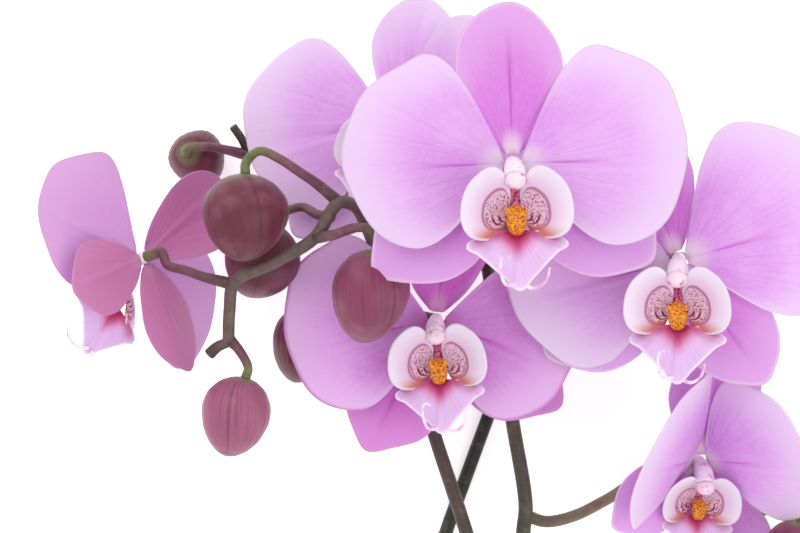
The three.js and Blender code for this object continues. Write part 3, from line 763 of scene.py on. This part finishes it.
def lobe_material():
    """Side lobes of the lip: white to pink outside, speckled and striped within, orange-red low down."""
    s = Shader("side_lobe", roughness=0.42, translucent=0.15)
    along, around = s.attribute("along"), s.attribute("around")
    color = s.mix(linear(238, 205, 236), linear(244, 232, 246), s.step(along, 0.5, 0.95))
    color = s.mix(color, linear(240, 206, 226), s.step(along, 0.6, 0.3))
    spots = s.step(s.grain(2000.0, 1.0), 0.55, 0.6)
    color = s.mix(color, linear(158, 36, 92), spots, s.step(along, 0.56, 0.48), 0.85)
    color = s.mix(color, linear(168, 60, 112), s.step(along, 0.5, 0.54), s.step(along, 0.6, 0.55), 0.75)
    stripes = s.step(s.math("SINE", s.product(along, 42.0)), 0.35, 0.7)
    color = s.mix(color, linear(140, 22, 76), stripes, s.step(along, 0.6, 0.35), s.step(around, -0.1, 0.35))
    patch = s.product(s.step(around, 0.35, 0.75), s.step(along, 0.35, 0.6), s.step(along, 1.0, 0.86))
    color = s.mix(color, linear(206, 92, 66), patch, 0.9)
    return s.finish(color, s.grain(1500.0), 0.2 * MM, 0.2)


def mid_lobe_material():
    """Mid-lobe of the lip: crimson at its fold, fading to pink and white."""
    s = Shader("mid_lobe", roughness=0.42, translucent=0.12)
    along, around = s.attribute("along"), s.attribute("around")
    color = s.mix(linear(222, 120, 176), linear(230, 194, 240), s.step(along, 0.25, 0.6))
    corners = s.product(s.step(s.math("ABSOLUTE", around), 0.55, 0.95), 0.7)
    crimson = s.math("MAXIMUM", s.step(along, 0.42, 0.12), corners)
    color = s.mix(color, linear(176, 30, 92), crimson, s.step(along, 1.0, 0.7))
    veins = s.veins(around, 16.0, along, 1.0)
    color = s.mix(color, linear(206, 80, 150), s.step(veins, 0.52, 0.66), 0.16)
    color = s.mix(color, linear(248, 236, 246), s.step(along, 0.93, 1.0))
    return s.finish(color, veins, 0.2 * MM, 0.3)


def speckled_material(name, base, spot, scale, low, high):
    """A waxy skin with speckles, which cover more of it the lower low and high are."""
    s = Shader(name, roughness=0.42)
    spots = s.grain(scale, 2.0)
    return s.finish(s.mix(base, spot, s.step(spots, low, high)), spots, 0.3 * MM, 0.3)


def bud_material():
    """Bud skin in each bud's own tint: dark streaks and seams, a blush, a green foot and a dark tip."""
    s = Shader("bud", roughness=0.42, sheen=0.1, coat=0.05)
    along, around, tint = s.attribute("along"), s.attribute("around"), s.attribute("tint", "Color")
    lines = s.veins(around, 13.0, along, 1.2)
    color = s.mix(tint, linear(84, 26, 46), s.step(lines, 0.45, 0.68), 0.3)
    color = s.mix(color, linear(176, 104, 134), s.step(s.grain(110.0, 2.0), 0.5, 0.75), 0.22)
    color = s.mix(color, linear(64, 16, 34), s.attribute("seam"), 0.6)
    color = s.mix(color, BUD_GREEN, s.step(along, 0.07, 0.01), 0.8)
    color = s.mix(color, linear(70, 30, 40), s.step(along, 0.9, 1.0), 0.5)
    return s.finish(color, s.math("ADD", lines, s.product(s.grain(1800.0, 2.0), 0.4)), 0.3 * MM, 0.4)


def stem_material():
    """Stem skin in the tints along each branch, with dark and pale blotches."""
    s = Shader("stem", roughness=0.5, coat=0.05)
    blotch = s.grain(260.0, 4.0, 0.65)
    fine = s.grain(1500.0)
    color = s.mix(s.attribute("tint", "Color"), linear(58, 44, 38), s.step(blotch, 0.45, 0.7), 0.35)
    color = s.mix(color, linear(150, 134, 112), s.step(blotch, 0.5, 0.3), 0.18)
    color = s.mix(color, linear(150, 132, 116), s.step(fine, 0.54, 0.7), 0.1)
    return s.finish(color, s.math("ADD", blotch, s.product(fine, 0.4)), 0.3 * MM, 0.35)


petal_skin = tepal_material(
    "petal", streak_width=0.05, streak_reach=0.6,
    pale=dict(middle=linear(232, 168, 242), rim=linear(240, 218, 246), streak=linear(208, 108, 214),
              claw=linear(246, 238, 247), back=linear(226, 188, 236)),
    deep=dict(middle=linear(222, 132, 226), rim=linear(236, 188, 242), streak=linear(196, 66, 190),
              claw=linear(208, 92, 196), back=linear(214, 146, 200)))
sepal_skin = tepal_material(
    "sepal", streak_width=0.04, streak_reach=0.9,
    pale=dict(middle=linear(226, 142, 234), rim=linear(231, 180, 242), streak=linear(200, 88, 206),
              claw=linear(245, 232, 245), back=linear(216, 142, 186)),
    deep=dict(middle=linear(210, 84, 204), rim=linear(224, 140, 222), streak=linear(168, 44, 162),
              claw=linear(226, 140, 210), back=linear(208, 122, 160)))
lobe_skin = lobe_material()
mid_lobe_skin = mid_lobe_material()
claw_skin = speckled_material("lip_claw", linear(226, 120, 160), linear(150, 26, 70), 900.0, 0.5, 0.58)
callus_skin = speckled_material("callus", linear(232, 150, 34), linear(150, 44, 26), 1900.0, 0.5, 0.6)
cirrus_skin = speckled_material("cirrus", linear(246, 224, 242), linear(226, 160, 214), 300.0, 0.45, 0.7)
column_skin = speckled_material("column", linear(244, 228, 240), linear(226, 150, 196), 260.0, 0.55, 0.75)
cap_skin = speckled_material("anther_cap", linear(240, 214, 226), linear(206, 110, 160), 420.0, 0.56, 0.7)
bud_skin = bud_material()
stem_skin = stem_material()

# ---------------------------------------------------------------- build the spray
def build_flower(flower, number, shift):
    """One whole flower and its stalk. Returns the flower's centre."""
    shapes = flower_shapes(flower)
    pose = flower_pose(flower, shapes)
    build_tepals(flower, number, shapes, pose)
    build_lip(flower, pose, FLOWERS[flower]["lip"])
    build_column(flower, pose)
    behind = pose(np.array(STALK_END, float)) / MM - shift
    course = FLOWER_STALKS[flower] + [tuple(point) for point in behind]
    tinted_tube(f"{flower}_stalk", course, FLOWER_STALK_RADII, FLOWER_STALK_TONES, shift)
    return pose(np.zeros(3))


shift = align_to_frame()
centres = {flower: build_flower(flower, number, shift) for number, flower in enumerate(FLOWERS, 1)}
stem_points = np.array([v.co for v in nodes["stem"].data.vertices])
for name, bud in BUDS.items():
    foot, axis = build_bud(name, stem_points)
    approach = [tuple(foot + along * axis - shift) for along in BUD_APPROACH]
    tinted_tube(f"{name}_stalk", bud["stalk"] + approach, BUD_STALK_RADII, BUD_STALK_TONES, shift)
for branch in BRANCHES:
    tinted_tube(branch["name"], branch["course"], branch["radii"], branch["tones"], shift)

# ---------------------------------------------------------------- floor, light and camera
bpy.ops.mesh.primitive_plane_add(size=FLOOR_SIZE, location=(0, 0, 0))
floor = bpy.context.object
floor.name = "floor"
paper = Shader("floor", roughness=0.9)
paper.base.inputs["Emission Color"].default_value = WHITE
paper.base.inputs["Emission Strength"].default_value = FLOOR_GLOW
floor.data.materials.append(paper.finish(linear(252, 252, 252)))

front = Vector(centres["flower1"])
camera = bpy.data.objects.new("camera", bpy.data.cameras.new("camera"))
camera.location = front + Vector((*VIEW_OFFSET, CAMERA_HEIGHT)) * MM
camera.data.sensor_width = SENSOR_WIDTH
camera.data.lens = SENSOR_WIDTH * CAMERA_HEIGHT / VIEW_WIDTH
camera.data.clip_start = 0.01
bpy.context.scene.collection.objects.link(camera)
bpy.context.scene.camera = camera


def area_light(name, place, size, power):
    """A square lamp at a place in metres from the front flower, facing it."""
    light = bpy.data.lights.new(name, "AREA")
    light.size = size
    light.energy = power
    lamp = bpy.data.objects.new(name, light)
    lamp.location = front + Vector(place)
    lamp.rotation_euler = (-Vector(place)).to_track_quat("-Z", "Y").to_euler()
    bpy.context.scene.collection.objects.link(lamp)


area_light("key", (-0.5, 0.7, 1.0), size=0.9, power=4.5)
area_light("fill", (0.8, -0.5, 0.9), size=1.0, power=4)
world = bpy.data.worlds.new("studio")
world.use_nodes = True
world.node_tree.nodes["Background"].inputs["Color"].default_value = WHITE
world.node_tree.nodes["Background"].inputs["Strength"].default_value = WORLD_STRENGTH
bpy.context.scene.world = world
bpy.context.scene.view_settings.view_transform = "Standard"
